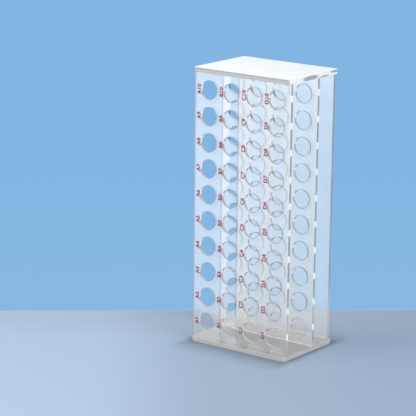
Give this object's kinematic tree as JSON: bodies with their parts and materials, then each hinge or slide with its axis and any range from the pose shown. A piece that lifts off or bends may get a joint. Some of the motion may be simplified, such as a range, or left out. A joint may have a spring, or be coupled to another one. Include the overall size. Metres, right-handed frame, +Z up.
{
  "type": "microcentrifuge tube rack",
  "caption": "Clear acrylic rack for microcentrifuge tubes, with a drilled front plate, a drilled guide plate and a closed back plate between two end plates.",
  "frame": {"origin": "middle of the footprint of the rack as it stands on its lower end plate, on the standing surface", "axes": "+Z up the rows from row 1 to row 10, +X across the columns from A to D, and the front plate, where the tubes go in, faces -Y"},
  "size_m": [0.0746, 0.054, 0.181],
  "materials": {
    "clear_acrylic": "clear cast acrylic sheet with polished faces and machined, satin edges"
  },
  "bodies": {
    "root": {"lower_end_plate": "clear_acrylic", "upper_end_plate": "clear_acrylic", "front_plate": "clear_acrylic", "guide_plate": "clear_acrylic", "back_plate": "clear_acrylic"}
  },
  "joints": []
}
